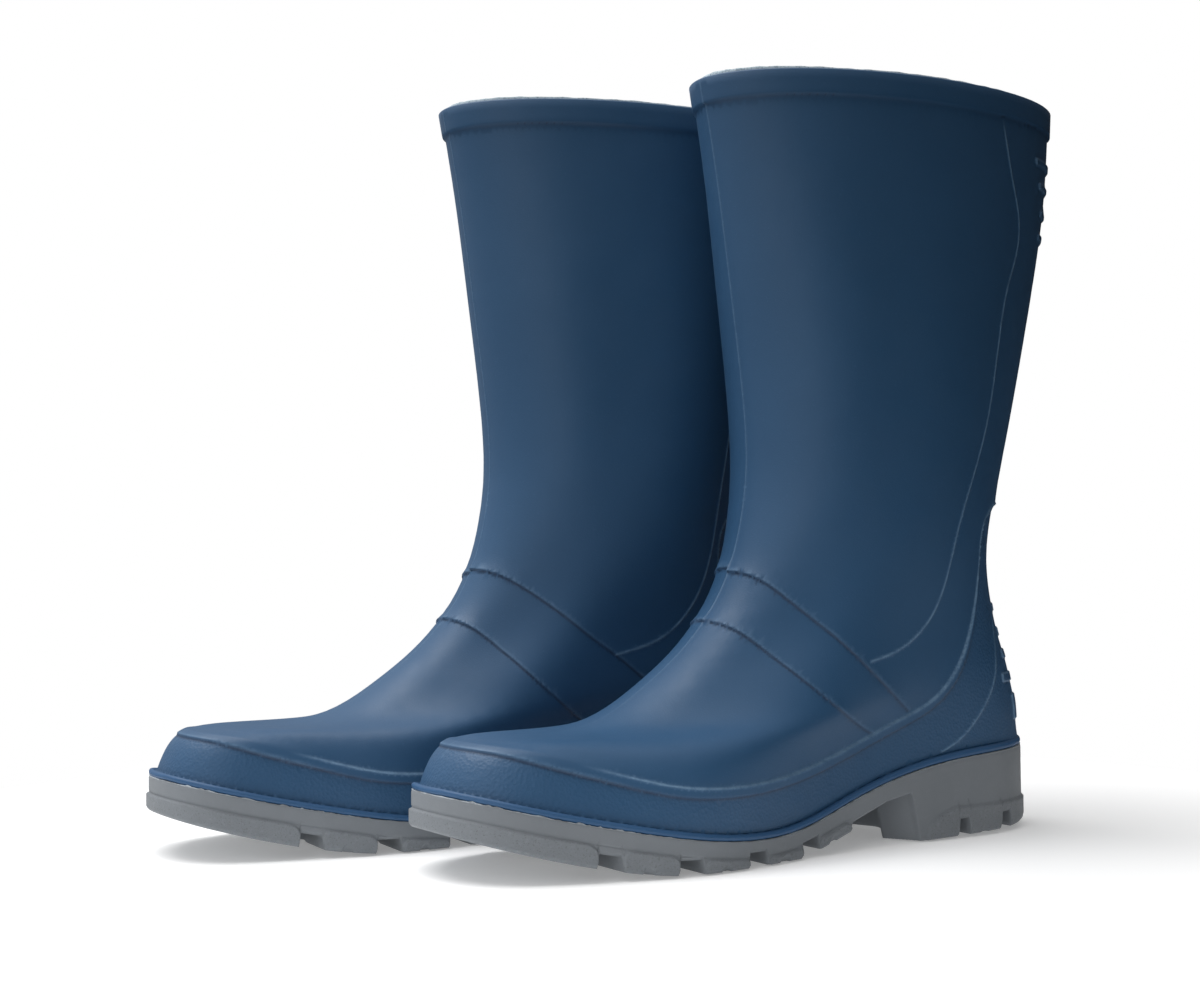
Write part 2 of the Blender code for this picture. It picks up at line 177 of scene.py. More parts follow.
# Stripes of painted highlight and painted shade beside moulded edges, as (distance from the edge, half
# width); LIP_GROOVE is a real groove.
BAND_TOP_HIGHLIGHT, BAND_FOOT_SHADE = (0, 0.6), (-0.4, 0.55)
TOE_HIGHLIGHT = (0.7, 0.5)
LIP_HIGHLIGHT, LIP_SHADE, LIP_GROOVE = (0.7, 0.45), (-0.4, 0.5), (-0.6, 0.4)
RIDGE_HIGHLIGHT, PARTING_HIGHLIGHT, RIB_HIGHLIGHT = (0, 0.45), (0, 0.3), (-0.1, 0.32)
COLLAR_SHADE = (-0.4, 0.35)
TOE_HIGHLIGHT_SHARE, LIP_HIGHLIGHT_SHARE, PARTING_HIGHLIGHT_SHARE = 0.35, 0.3, 0.4
RIB_HIGHLIGHT_SHARE, HEEL_RIB_HIGHLIGHT_SHARE = 0.5, 0.9
FAR = 99.0

# Mesh of the upper: sizes of its triangles, which grow with the distance from the nearest detail.
FINE, COARSE, GROWTH = 0.57, 4.5, 0.8
BEAD_SIZE, RIM_SIZE, INSIDE_SIZE = 1.2, 2.6, 7.0
SKIN_LENGTH = 290.0
SPLIT_OVER = 1.3
BASE_COLUMNS, SKIN_ROWS, BEAD_ROWS, INSIDE_ROWS = 72, 34, 9, 16
RIM_SHARES = (0, 0.06, 0.2, 0.5, 0.8, 0.94)
REFINE_ROUNDS = 16
NUDGE = 0.01

# Outsole.
SOLE_GAP = 0.1
PLATEAU_INSET = FLANGE_WIDTH + 1.0
SOLE_OVERHANG = 2.4
PAD_PROUD = 1.0
BAND_HEIGHT = 6.3
EDGE_CHAMFER = 1.0
TOE_SPRING = (205.0, 86.0, 18.4, 1.6)  # (starts at u, length, rise, power)
ARCH = (150.0, 66.0, 20.5, 1.25)  # (starts at u, length, rise, power)
ARCH_LIFT = (2.8, 15.0)  # (rise, length)
HEEL_BREAST_TOP_U, HEEL_BREAST_FOOT_U = 84.0, 79.0
HEEL_BEVEL = (30.0, 2.5)  # (starts at u, rise)
HEEL_RISE = 2.2
HEEL_FRONT = [  # (v, u) of the heel block's front edge on the ground
    (-50, 79), (-34.5, 79), (-19, 88), (-16, 85), (-10, 77), (0, 74), (12, 77), (19, 85), (23, 89),
    (39.5, 79), (50, 79),
]
HEEL_LUG_HEIGHT = 13.0
HEEL_PANEL_U, HEEL_PANEL_CORNER = 77.5, 2.5
HEEL_PANEL_SLOPE = (60, 19, 8)  # (starts at u, length, drop)
FORE_GROOVE_DEPTH, HEEL_GROOVE_DEPTH = 5.5, 7.0
LAST_LUG_BACK_U = 120.5
GROOVES = [(241, 232), (210.5, 200.5), (179, 169), (149, 138.5), (60.5, 54.5), (35, 28)]
CENTRE_GROOVES = [(226, 220), (194, 187), (164, 158), (134, 128), (48, 43)]
NOTCHES = [(222.3, 2.2), (190.5, 2.0), (159.5, 2.6), (131, 2.2), (45.5, 2.0)]
NOTCH_HEIGHT = 1.9
PADS = [(232, 210.5), (200.5, 179), (169, 149), (138.5, LAST_LUG_BACK_U)]
TOE_PAD_BACK = 241
PAD_CORNER = 3.6
GROOVE_WALL = 0.9
PAD_RISE = 0.6
PAD_LEAN, PAD_LEAN_H = 0.12, 14
CENTRE_SHARE, CENTRE_LUG_RECESS = 0.42, 0.8
TREAD_INNER_SHARE, TREAD_RINGS = 0.04, 28
LEAST_SIDE_HEIGHT = 3.0
SIDE_LINE, SIDE_LINE_DEPTH = (0.2, 0.35), 0.28
FOOT_ROUND, TOP_TURN_IN, ROUND_SHARE = 0.35, 0.25, 0.05
FLASH_WAVES = ((0.41, 1), (0.93, 4), (1.7, 2), (3.1, 5))  # (turns in u, start)
SOLE_ROWS = 46
SOLE_FINE, SOLE_COARSE, SOLE_GROWTH, SOLE_FINE_REACH = 0.4, 1.5, 0.3, 1.2
PLAIN, PAD, SEAM = 0.0, 1.0, 2.0

# Layers inside the shell.
SHELL_TO_LINING = 0.35
LINING_THICKNESS = 1.0
LINING_STANDS = 1.95
LINING_RAGGED = 0.22
LINING_COLUMNS, LINING_SEED = 288, 7
LINING_WAVES = (5, 9, 17, 31, 47, 71)
LAYER_GAP = 0.5
BOARD_THICKNESS = 1.2
FOAM_THICKNESS = 4.5
COVER_THICKNESS = 1.0
FOAM_DISH, FOAM_EDGE = 0.4, 1.4
COVER_DISH, COVER_EDGE, COVER_SUNK = 0.35, 0.45, 0.3
FOOTBED_LEVEL = 1.1
FOOTBED_INSET = 4.9
FOOTBED_COLUMNS, FOOTBED_MIDDLE_U = 240, 145
HEEL_CLEARANCE, HEEL_CLEARANCE_END_U = 3.2, 60.0

# Colours.
BLUE, BLUE_CLOUD, BLUE_SPECKLE = (0.0220, 0.0780, 0.168), (0.0260, 0.0870, 0.184), (0.040, 0.114, 0.228)
# The first two colours on the next line are painted shade under moulded lips and painted highlight on
# moulded edges.
BLUE_PAINTED_SHADE, BLUE_HIGHLIGHT, BLUE_BEAD = (0.012, 0.03, 0.07), (0.19, 0.32, 0.47), (0.026, 0.092, 0.215)
GREY, GREY_CLOUD, GREY_DUST = (0.170, 0.188, 0.207), (0.200, 0.219, 0.240), (0.25, 0.275, 0.30)
GREY_PITS, GREY_FLASH = (0.09, 0.10, 0.11), (0.55, 0.62, 0.68)
LINING_COLOURS = (0.16, 0.25, 0.33), (0.32, 0.44, 0.52), (0.62, 0.74, 0.80)
COVER_COLOURS = (0.10, 0.15, 0.20), (0.24, 0.33, 0.40), (0.4, 0.48, 0.54)
FOAM_SKIN, FOAM_CELLS = (0.10, 0.11, 0.12), (0.05, 0.055, 0.06)
BOARD_DARK, BOARD_PALE, BOARD_STAIN = (0.46, 0.43, 0.37), (0.62, 0.60, 0.55), (0.40, 0.36, 0.29)
LINING_KNIT_SCALE, COVER_KNIT_SCALE = 900, 600
FLOOR_TONES = (0.87, 0.87, 0.87), (0.89, 0.89, 0.89)


# ---------------------------------------------------------------- curves and surface


def spline(xs, ys, x):
    """Natural cubic spline through (xs, ys); ys may hold several values for each x."""
    xs, ys = np.asarray(xs, float), np.asarray(ys, float)
    steps, count = np.diff(xs), len(xs)
    matrix, right = np.eye(count), np.zeros_like(ys)
    for i in range(1, count - 1):
        matrix[i, i - 1 : i + 2] = steps[i - 1], 2 * (steps[i - 1] + steps[i]), steps[i]
        right[i] = 6 * ((ys[i + 1] - ys[i]) / steps[i] - (ys[i] - ys[i - 1]) / steps[i - 1])
    bend = np.linalg.solve(matrix, right)
    x = np.clip(np.asarray(x, float), xs[0], xs[-1])
    i = np.clip(np.searchsorted(xs, x) - 1, 0, count - 2)
    column = (-1,) + (1,) * (ys.ndim - 1)
    after, before = (x - xs[i]).reshape(column), (xs[i + 1] - x).reshape(column)
    step = steps[i].reshape(column)
    cubic = (before**3 * bend[i] + after**3 * bend[i + 1]) / (6 * step)
    low = (ys[i] / step - bend[i] * step / 6) * before
    high = (ys[i + 1] / step - bend[i + 1] * step / 6) * after
    return cubic + low + high


def weights(knots, x):
    """The spline as a matrix: each row times the values at the knots gives the value at x."""
    return spline(knots, np.eye(len(knots)), x)


def feather_height(u):
    return spline(FEATHER_U, FEATHER_H, u)


def smooth(x):
    """A soft step from 0 to 1 as x passes from 0 to 1."""
    x = np.clip(x, 0, 1)
    return x * x * (3 - 2 * x)


def stripe(away, place):
    """A soft stripe of height 1, at place's distance and with its half width."""
    middle, half = place
    return np.exp(-(((away - middle) / half) ** 2))


def rounded(across, up, radius):
    """Distance outside a corner that is rounded where both reach it."""
    outside = np.hypot(np.maximum(across + radius, 0), np.maximum(up + radius, 0)) - radius
    return outside + np.minimum(np.maximum(across, up) + radius, 0)


def on_surface(level, angle):
    """Outer surface of the upper at each (level, angle), with angle 0 in front."""
    share = (1 + np.cos(angle)) / 2
    by_level = weights(LEVELS, level)
    front, back = by_level @ np.array(FRONT_PROFILE, float), by_level @ np.array(BACK_PROFILE, float)
    line = back + (front - back) * share[:, None]
    sole_u = BACK_PROFILE[0][0] + (FRONT_PROFILE[0][0] - BACK_PROFILE[0][0]) * share
    straight = BACK_PROFILE[0][1] + (FRONT_PROFILE[0][1] - BACK_PROFILE[0][1]) * share
    keep = np.clip(by_level @ np.array(DIP_SHARE, float), 0, 1)
    dip = keep * (feather_height(sole_u) - straight)
    girth, station = weights(GIRTH_LEVELS, level), weights(STATIONS, share)
    breadth = np.einsum("pi,ij,pj->p", girth, np.array(GIRTH, float), station)
    inner = np.einsum("pi,ij,pj->p", girth, np.array(INNER_SIDE_SHARE, float), station)
    v = breadth * np.where(np.sin(angle) >= 0, 1, inner) * np.sin(angle)
    return np.stack([line[:, 0], v, line[:, 1] + dip], -1)


def with_normal(level, angle):
    """Points of the outer surface and the directions out of it."""
    level = np.clip(level, 0, COLLAR_LEVEL)
    low, high = np.clip(level - NUDGE, 0, COLLAR_LEVEL), np.clip(level + NUDGE, 0, COLLAR_LEVEL)
    up = on_surface(high, angle) - on_surface(low, angle)
    normal = np.cross(on_surface(level, angle + NUDGE) - on_surface(level, angle - NUDGE), up)
    return on_surface(level, angle), normal / np.linalg.norm(normal, axis=-1, keepdims=True)


def outline(level, angle, outward, rise):
    """A contour moved outwards in plan, at a height above the feather edge."""
    level = np.full(len(angle), float(level))
    points = on_surface(level, angle)
    along = on_surface(level, angle + NUDGE) - on_surface(level, angle - NUDGE)
    normal = np.stack([along[:, 1], -along[:, 0]], -1)
    normal /= np.linalg.norm(normal, axis=-1, keepdims=True)
    points[:, :2] += normal * np.broadcast_to(outward, (len(angle),))[:, None]
    points[:, 2] = feather_height(points[:, 0]) + rise
    return points


# ---------------------------------------------------------------- relief of the upper


def drawn(knots, count=70):
    """A curve in side view as a fine polyline."""
    knots = np.array(knots, float)
    chord = np.concatenate([[0], np.cumsum(np.linalg.norm(np.diff(knots, axis=0), axis=1))])
    return spline(chord, knots, np.linspace(0, chord[-1], count))


def beside(line, points, normals):
    """How each point lies by the line in side view.

    It gives the distance over the surface, positive on the line's left, the share of the way along,
    and the distance past the line's ends.
    """
    side = points[:, [0, 2]]
    best, share = np.full(len(side), 1e9), np.zeros(len(side))
    signed, across = np.zeros(len(side)), np.zeros((len(side), 2))
    past = np.zeros(len(side))
    steps = np.diff(line, axis=0)
    last = len(steps) - 1
    for i, step in enumerate(steps):
        length = np.linalg.norm(step)
        ahead = step / length
        away = side - line[i]
        along = away @ ahead
        gap = away - np.clip(along, 0, length)[:, None] * ahead
        distance = np.linalg.norm(gap, axis=1)
        nearer = distance < best
        left = away @ np.array([-ahead[1], ahead[0]])
        best[nearer] = distance[nearer]
        signed[nearer] = (np.sign(left) * distance)[nearer]
        across[nearer] = [-ahead[1], ahead[0]]
        share[nearer] = ((i + np.clip(along / length, 0, 1)) / len(steps))[nearer]
        beyond = np.zeros(len(side))
        if i == 0:
            beyond = np.maximum(-along, 0)
        if i == last:
            beyond = np.maximum(along - length, 0)
        past[nearer] = beyond[nearer]
    facing = across[:, 0] * normals[:, 0] + across[:, 1] * normals[:, 2]
    return signed / np.sqrt(np.clip(1 - facing**2, 0.08, 1)), share, past


def by_share(table, share):
    return np.interp(share, [row[0] for row in table], [row[1] for row in table])


LINES = {
    "foxing": drawn(FOXING_LINE, 120),
    "heel": drawn(HEEL_LINE),
    "strap_top": (drawn(STRAP_TOP_OUTER), drawn(STRAP_TOP_INNER)),
    "strap_foot": (drawn(STRAP_FOOT_OUTER), drawn(STRAP_FOOT_INNER)),
    "shaft": (drawn(SHAFT_LINE_OUTER), drawn(SHAFT_LINE_INNER)),
}


def two_sided(name, points, normals):
    """Reads a line that differs between the outer and the inner side of the boot."""
    outer, inner = (beside(line, points, normals) for line in LINES[name])
    is_outer = points[:, 1] >= 0
    return [np.where(is_outer, a, b) for a, b in zip(outer, inner)]


def mark(made, kind, strength):
    made[kind] = np.maximum(made[kind], strength)


def crowd(made, clear):
    """Notes how far each point is from a detail, so that the mesh is fine beside it."""
    made["room"] = np.minimum(made["room"], clear)


def add_foxing(points, normals, made):
    """The raised band over the foxing, and the lip that it becomes round the back of the ankle."""
    away, share, _ = beside(LINES["foxing"], points, normals)
    away = -away  # the line runs from toe to back, so its left is below
    over = away - by_share(BAND_WIDTH, share)
    toe = smooth((points[:, 0] - TOE_RAMP_U[0]) / (TOE_RAMP_U[1] - TOE_RAMP_U[0]))
    top = (1 - toe) * smooth(0.5 - over / 0.5) + toe * smooth(1 - over / TOE_RAMP)
    made["height"] += by_share(BAND_PROUD, share) * top * smooth(away / 0.45 + 0.5)
    back = smooth((points[:, 2] - BACK_LIP_LOW_H) / 25) * (points[:, 0] < BACK_U)
    made["height"] += back * BACK_LIP_PROUD * np.exp(-np.maximum(over, 0) / BACK_LIP_FADE) * (over > -0.2)
    # Painted highlight along the band's top edge, and near the toe a weaker one just above the band's foot;
    # painted shade just below the band's foot, stronger low down.
    mark(made, "line", (1 - toe) * stripe(over, BAND_TOP_HIGHLIGHT))
    mark(made, "line", TOE_HIGHLIGHT_SHARE * toe * stripe(away, TOE_HIGHLIGHT))
    mark(made, "dark", np.where(points[:, 2] < 80, 1.0, 0.4) * stripe(away, BAND_FOOT_SHADE))
    made["foxing"] = smooth(-away / 1.0)
    made["height"] -= FOXING_SUNK * made["foxing"]
    made["above_foxing"] = over
    crowd(made, np.minimum(np.abs(over), np.abs(away)) - 0.3)


def add_strap(name, points, normals, made):
    """The edge of a moulded strap: the upper side flares up to it and drops sharply."""
    away, share, past = two_sided(name, points, normals)
    away = -away
    shown = smooth(1 - past / 1.5) * smooth(made["above_foxing"] / 1.0)
    proud = LIP_PROUD + (LIP_PROUD_SIDE - LIP_PROUD) * smooth(share / 0.35)
    flare = np.where(away > 0, np.exp(-np.maximum(away, 0) / LIP_FADE), smooth(1 + away / LIP_DROP))
    made["height"] += shown * proud * flare
    made["height"] -= shown * GROOVE_UNDER_LIP * stripe(away, LIP_GROOVE)
    # Painted shade just below the strap's lip and a weaker painted highlight on the flare above it.
    mark(made, "dark", shown * stripe(away, LIP_SHADE))
    mark(made, "line", LIP_HIGHLIGHT_SHARE * shown * stripe(away, LIP_HIGHLIGHT))
    crowd(made, np.where(shown > 0.02, np.abs(away + 0.15) - 0.4, FAR))


def add_ridge(found, strength, made):
    """A thin moulded line that stands up from the surface."""
    away, _, past = found
    shown = strength * smooth(1 - past / 2.5)
    made["height"] += shown * RIDGE_PROUD * stripe(away, (0, RIDGE_HALF))
    # Painted highlight along the ridge.
    mark(made, "line", shown * stripe(away, RIDGE_HIGHLIGHT))
    crowd(made, np.where(shown > 0.02, np.abs(away) - 0.35, FAR))


def add_block(place, half_height, proud, highlight_share, points, made):
    """A rib or block across the back centre, with rounded ends."""
    h, half_width = place
    across, up = np.abs(points[:, 1]) - half_width, np.abs(points[:, 2] - h) - half_height
    away = np.where(points[:, 0] < BACK_U, rounded(across, up, RIB_CORNER), FAR)
    made["height"] += proud * smooth(0.5 - away / 0.45)
    # Painted highlight just inside the edge of the rib or block.
    mark(made, "line", highlight_share * stripe(away, RIB_HIGHLIGHT))
    crowd(made, np.abs(away) - 0.3)


def add_parting(points, angle, made):
    """Flash lines down the front and the back, where the halves of the mould met."""
    front = np.abs(np.sin(angle / 2)) < 0.5
    shown = np.where(front, smooth((points[:, 2] - 60) / 50) * 0.6 + 0.4, 0.8) * (points[:, 2] > 44)
    away = np.abs(points[:, 1])
    made["height"] += shown * PARTING_PROUD * stripe(away, (0, PARTING_HALF))
    # Painted highlight along the parting line.
    mark(made, "line", PARTING_HIGHLIGHT_SHARE * shown * stripe(away, PARTING_HIGHLIGHT))
    crowd(made, np.where(shown > 0, away - 0.3, FAR))


def add_collar_band(level, made):
    above = (level - COLLAR_BAND_LEVEL) * COLLAR_MM_PER_LEVEL
    made["height"] += COLLAR_BAND_PROUD * smooth(0.5 + above / 0.5)
    # Painted shade just below the collar band's lower edge.
    mark(made, "dark", stripe(above, COLLAR_SHADE))
    crowd(made, np.abs(above) - 0.2)


def relief(level, angle, points, normals):
    """Height of the moulded detail above the plain surface, how it is coloured, with painted highlights and
    painted shade beside its edges, and how it is meshed.
    """
    made = {name: np.zeros(len(level)) for name in ("height", "line", "dark")}
    made["room"] = np.full(len(level), FAR)
    add_foxing(points, normals, made)
    add_strap("strap_top", points, normals, made)
    add_strap("strap_foot", points, normals, made)
    shaft, heel = two_sided("shaft", points, normals), beside(LINES["heel"], points, normals)
    add_ridge(shaft, smooth((SHAFT_LINE_TOP_H - points[:, 2]) / 12), made)
    add_ridge(heel, smooth((HEEL_LINE_TOP_H - points[:, 2]) / 11), made)
    for rib in BACK_RIBS:
        add_block(rib, RIB_HALF, RIB_PROUD, RIB_HIGHLIGHT_SHARE, points, made)
    for rib in HEEL_RIBS:
        add_block(rib, HEEL_RIB_HALF, HEEL_RIB_PROUD, HEEL_RIB_HIGHLIGHT_SHARE, points, made)
    add_block(HEEL_BLOCK, HEEL_BLOCK_HALF, HEEL_RIB_PROUD, HEEL_RIB_HIGHLIGHT_SHARE, points, made)
    add_parting(points, angle, made)
    add_collar_band(level, made)
    return made


# ---------------------------------------------------------------- mesh of the upper

# The section of the shell runs round six stretches, each one unit long.
FLANGE_FOOT, BEAD, SKIN, RIM, INSIDE, FLANGE_TOP, ROUND = range(7)


def bead_height(u):
    return BEAD_HEIGHT_HEEL + (BEAD_HEIGHT_TOE - BEAD_HEIGHT_HEEL) * smooth(u / 200)


def skin_start():
    """Level at which the skin rises out of the welt bead, for a ring of angles."""
    angles = np.linspace(0, 2 * math.pi, 361)
    tried = np.linspace(0, 1, 41)
    rises = []
    for level in tried:
        points = on_surface(np.full(len(angles), level), angles)
        rises.append(points[:, 2] - feather_height(points[:, 0]))
    foot = on_surface(np.zeros(len(angles)), angles)
    wanted = bead_height(foot[:, 0]) * BEAD_CREASE
    found = [np.interp(w, column, tried) for w, column in zip(wanted, np.array(rises).T)]
    return angles, np.array(found)


START_ANGLES, START_LEVELS = skin_start()


def skin_level(share, angle):
    start = np.interp(angle % (2 * math.pi), START_ANGLES, START_LEVELS)
    return start + (COLLAR_LEVEL - start) * share


def heel_tuck(u):
    """How much less the bead and the outsole stand out round the back of the heel."""
    return HEEL_TUCK * smooth((HEEL_TUCK_U[0] - u) / (HEEL_TUCK_U[0] - HEEL_TUCK_U[1]))


def bead_points(share, angle):
    """The round welt bead, in section an arc from under it to the crease above it."""
    u = on_surface(np.zeros(len(angle)), angle)[:, 0]
    height = bead_height(u)
    turned = np.radians(BEAD_ARC[0] + (BEAD_ARC[1] - BEAD_ARC[0]) * share)
    reach = np.minimum(height / 2, 1.5)
    outward = BEAD_PROUD - heel_tuck(u) - reach + reach * np.cos(turned)
    return outline(0, angle, outward, height / 2 * (1 + np.sin(turned)))


def shell_points(w, angle, moulded):
    """Points of the whole shell: moulded holds the relief, or None for the plain surface."""
    made = np.zeros((len(w), 3))
    part, share = np.floor(w).astype(int), w - np.floor(w)
    here = part == FLANGE_FOOT
    made[here] = outline(0, angle[here], -FLANGE_WIDTH * (1 - share[here]), 0)
    here = part == BEAD
    made[here] = bead_points(share[here], angle[here])
    here = part == SKIN
    points, normals = with_normal(skin_level(share[here], angle[here]), angle[here])
    made[here] = points + normals * (0 if moulded is None else moulded[here, None])
    here = part == RIM
    across = 2 * share[here] - 1
    points, normals = with_normal(np.full(here.sum(), float(COLLAR_LEVEL)), angle[here])
    middle, half = (COLLAR_BAND_PROUD - WALL) / 2, (COLLAR_BAND_PROUD + WALL) / 2
    made[here] = points + normals * (middle - half * across)[:, None]
    made[here, 2] += RIM_ROUND * (1 - across**4)
    here = part == INSIDE
    level = COLLAR_LEVEL + (FLANGE_CORNER_LEVEL - COLLAR_LEVEL) * share[here]
    points, normals = with_normal(level, angle[here])
    made[here] = points - normals * WALL
    here = part == FLANGE_TOP
    inward = -WALL - (FLANGE_WIDTH - WALL) * np.minimum(share[here] * 1.25, 1)
    made[here] = outline(0, angle[here], inward, WALL * np.minimum(5 * (1 - share[here]), 1))
    return made


def measured(w, angle):
    """(plain points, size wanted, relief) at each place of the shell."""
    plain = shell_points(w, angle, None)
    # line holds painted highlights and dark holds painted shade beside moulded edges.
    looks = {name: np.zeros(len(w)) for name in ("height", "line", "dark", "foxing")}
    size = np.full(len(w), INSIDE_SIZE)
    size[(w >= BEAD) & (w <= SKIN)] = BEAD_SIZE
    size[(w >= RIM) & (w <= INSIDE)] = RIM_SIZE
    skin = (w >= SKIN) & (w < RIM)
    level = skin_level(w[skin] - SKIN, angle[skin])
    points, normals = with_normal(level, angle[skin])
    made = relief(level, angle[skin], points, normals)
    for name in looks:
        looks[name][skin] = made[name]
    size[skin] = np.clip(FINE + GROWTH * np.maximum(made["room"], 0), FINE, COARSE)
    size[skin] = np.minimum(size[skin], BEAD_SIZE + GROWTH * SKIN_LENGTH * (w[skin] - SKIN))
    return plain, size, looks


def halfway(a, b, period):
    """The middle of a and b, the shorter way round."""
    return (a + ((b - a + period / 2) % period - period / 2) / 2) % period


def edge_table(faces):
    """Each edge once, and the three edges of each face, from its corners 0-1, 1-2 and 2-0."""
    ends = np.sort(np.stack([faces, np.roll(faces, -1, axis=1)], -1).reshape(-1, 2), axis=1)
    keys, index = np.unique(ends[:, 0] * (faces.max() + 1) + ends[:, 1], return_inverse=True)
    edges = np.stack([keys // (faces.max() + 1), keys % (faces.max() + 1)], -1)
    return edges, index.reshape(-1, 3)


def to_split(long_edges, face_edges, longest):
    """Adds the longest edge of each face that has an edge to split, until none is left out."""
    marked = long_edges.copy()
    rows = np.arange(len(face_edges))
    own = face_edges[rows, longest]
    while True:
        missed = marked[face_edges].any(axis=1) & ~marked[own]
        if not missed.any():
            return marked
        marked[own[missed]] = True


def split_faces(faces, face_edges, longest, middle):
    """Cuts each face at the middles of its marked edges, its longest edge first."""
    rows = np.arange(len(faces))
    turn = (longest[:, None] + np.arange(3)) % 3
    a, b, c = faces[rows[:, None], turn].T
    m0, m1, m2 = middle[face_edges[rows[:, None], turn]].T
    whole = m0 < 0
    kept = [faces[whole]]
    for mid, uncut, *halves in (
        (m2, (a, m0, c), (a, m0, m2), (m0, c, m2)),
        (m1, (m0, b, c), (m0, b, m1), (m0, m1, c)),
    ):
        kept.append(np.stack(uncut, -1)[~whole & (mid < 0)])
        kept += [np.stack(half, -1)[~whole & (mid >= 0)] for half in halves]
    return np.concatenate(kept)


def shell_grid():
    """A coarse grid over the whole shell, as (w, angle, triangles)."""
    rows = [FLANGE_FOOT, FLANGE_FOOT + 0.5] + [BEAD + k / BEAD_ROWS for k in range(BEAD_ROWS)]
    rows += list(SKIN + np.linspace(0, 1, SKIN_ROWS)[:-1]) + [RIM + share for share in RIM_SHARES]
    rows += [INSIDE + k / INSIDE_ROWS for k in range(INSIDE_ROWS)] + [FLANGE_TOP, FLANGE_TOP + 0.8]
    columns = np.arange(BASE_COLUMNS) * 2 * math.pi / BASE_COLUMNS
    w, angle = (grid.ravel() for grid in np.meshgrid(rows, columns, indexing="ij"))
    low = np.arange(len(w)).reshape(len(rows), BASE_COLUMNS)
    right, up = np.roll(low, -1, axis=1), np.roll(low, -1, axis=0)
    corner = np.roll(up, -1, axis=1)
    halves = (low, right, corner), (low, corner, up)
    return w, angle, np.concatenate([np.stack(half, -1).reshape(-1, 3) for half in halves])


def shell_mesh():
    """The shell as (points, faces, looks), its triangles small only where there is detail."""
    w, angle, faces = shell_grid()
    points, size, looks = measured(w, angle)
    for _ in range(REFINE_ROUNDS):
        edges, face_edges = edge_table(faces)
        length = np.linalg.norm(points[edges[:, 0]] - points[edges[:, 1]], axis=1)
        marked = length > SPLIT_OVER * size[edges].max(axis=1)
        longest = length[face_edges].argmax(axis=1)
        marked = to_split(marked, face_edges, longest)
        if not marked.any():
            break
        middle = np.full(len(edges), -1)
        middle[marked] = len(w) + np.arange(marked.sum())
        first, second = edges[marked].T
        more_w = halfway(w[first], w[second], ROUND)
        more_angle = halfway(angle[first], angle[second], 2 * math.pi)
        more_points, more_size, more_looks = measured(more_w, more_angle)
        faces = split_faces(faces, face_edges, longest, middle)
        w, angle = np.concatenate([w, more_w]), np.concatenate([angle, more_angle])
        points, size = np.concatenate([points, more_points]), np.concatenate([size, more_size])
        looks = {name: np.concatenate([looks[name], more_looks[name]]) for name in looks}
    looks["bead"] = ((w >= BEAD) & (w < SKIN)).astype(float)
    return shell_points(w, angle, looks.pop("height")), faces.tolist(), looks


# ---------------------------------------------------------------- outsole


def ground_height(u, v):
    """Height of the lugs' faces: toe spring, flat tread, arch, heel and its bevelled back."""
    start, length, rise, power = TOE_SPRING
    toe = rise * np.clip((u - start) / length, 0, 2) ** power
    start, length, rise, power = ARCH
    arch = rise * np.clip((start - u) / length, 0, 1) ** power
    rise, length = ARCH_LIFT
    lift = rise * (np.clip((u - HEEL_BREAST_TOP_U) / length, 0, 1) * smooth((LAST_LUG_BACK_U - u) / 2))
    foot = np.interp(v, *zip(*HEEL_FRONT))
    breast = np.clip((u - foot) / (HEEL_BREAST_TOP_U - HEEL_BREAST_FOOT_U), 0, 1)
    start, rise = HEEL_BEVEL
    bevel = rise * np.clip((start - u) / start, 0, 2) ** 2
    heel = HEEL_RISE * np.clip(1 - u / HEEL_BREAST_FOOT_U, 0, 1)
    return toe + (arch + lift) * breast + bevel + heel


def in_grooves(u, grooves):
    found = np.zeros_like(u)
    for front, back in grooves:
        found = np.maximum(found, smooth(np.minimum(front - u, u - back) / GROOVE_WALL + 0.5))
    return found


def groove_height(u, v, grooves):
    depth = np.where(u < HEEL_BREAST_FOOT_U, HEEL_GROOVE_DEPTH, FORE_GROOVE_DEPTH)
    return ground_height(u, v) + depth * in_grooves(u, grooves)


def notch_height(u):
    """Small half-round notches in the feet of the lugs."""
    found = np.zeros_like(u)
    for middle, half in NOTCHES:
        found = np.maximum(found, NOTCH_HEIGHT * np.sqrt(np.clip(1 - ((u - middle) / half) ** 2, 0, 1)))
    return found


def lug_line(u):
    """Height up to which the lug pads stand out of the side of the sole."""
    fore = feather_height(u) - SOLE_GAP - BAND_HEIGHT
    start, length, drop = HEEL_PANEL_SLOPE
    panel = HEEL_LUG_HEIGHT - drop * np.clip((u - start) / length, 0, 1) ** 2
    return np.where(u <= HEEL_BREAST_FOOT_U, panel, fore)


def pad_height(u, h):
    """(how far the lug pads stand out of the side of the sole, distance outside the nearest pad)."""
    over = h - lug_line(u) + 0.5
    lean = PAD_LEAN * (h - PAD_LEAN_H)
    away = rounded(TOE_PAD_BACK + lean - u, over, PAD_CORNER)
    for front, back in PADS:
        across = np.maximum(u - front - lean * 0.6, back + lean * 0.6 - u)
        away = np.minimum(away, rounded(across, over, PAD_CORNER))
    heel = np.where(u < HEEL_BREAST_TOP_U, rounded(u - HEEL_PANEL_U, over, HEEL_PANEL_CORNER), FAR)
    away = np.minimum(away, heel)
    return PAD_PROUD * smooth(0.5 - away / PAD_RISE), away


